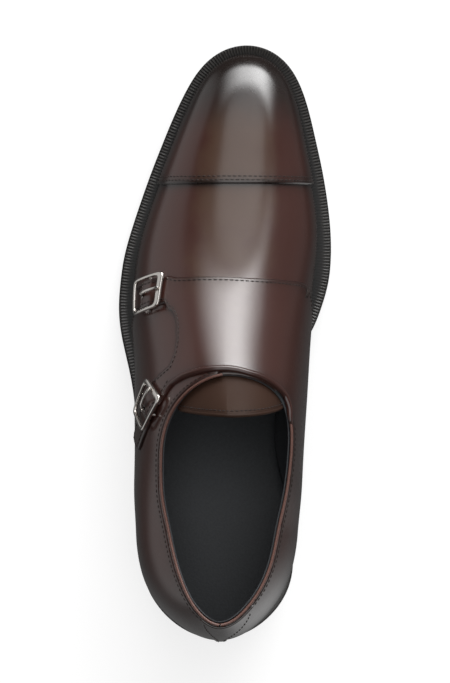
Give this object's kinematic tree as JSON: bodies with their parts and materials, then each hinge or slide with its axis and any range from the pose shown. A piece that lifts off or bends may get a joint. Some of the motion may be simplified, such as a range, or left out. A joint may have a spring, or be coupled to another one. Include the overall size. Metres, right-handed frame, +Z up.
{
  "type": "double monk strap shoe",
  "caption": "Left double monk strap dress shoe in burnished brown leather, with a cap toe, a flap held by buckled straps on the outer side, a welted sole and a stacked heel.",
  "frame": {"origin": "under the middle of the shoe's bounding box, on the floor", "axes": "+Z up, +Y towards the toe, +X towards the inner (medial) side of the foot"},
  "size_m": [0.1096, 0.305, 0.1014],
  "materials": {
    "upper_leather": "polished dark brown calf, burnished to near black at toe, heel, seams and welt",
    "tongue_leather": "softer brown calf, satin",
    "sock_leather": "matt black lining and sock",
    "welt_leather": "black welt with wheeled ridges, waxed",
    "sole_leather": "glossy black forefoot edge, burgundy painted waist",
    "heel_leather": "black inked leather lifts, waxed edge",
    "tread_rubber": "matt black rubber",
    "buckle_steel": "polished silver-coloured plate"
  },
  "bodies": {
    "root": {"upper": "upper_leather", "toe_cap": "upper_leather", "lateral_quarter": "upper_leather", "medial_quarter": "upper_leather", "tongue": "tongue_leather", "insole": "sock_leather", "welt": "welt_leather", "outsole": "sole_leather", "forefoot_tread": "tread_rubber", "heel_stack": "heel_leather", "top_lift_rear": "tread_rubber", "top_lift_front": "heel_leather", "buckle_front": "buckle_steel", "prong_front": "buckle_steel", "buckle_rear": "buckle_steel", "prong_rear": "buckle_steel"}
  },
  "joints": []
}
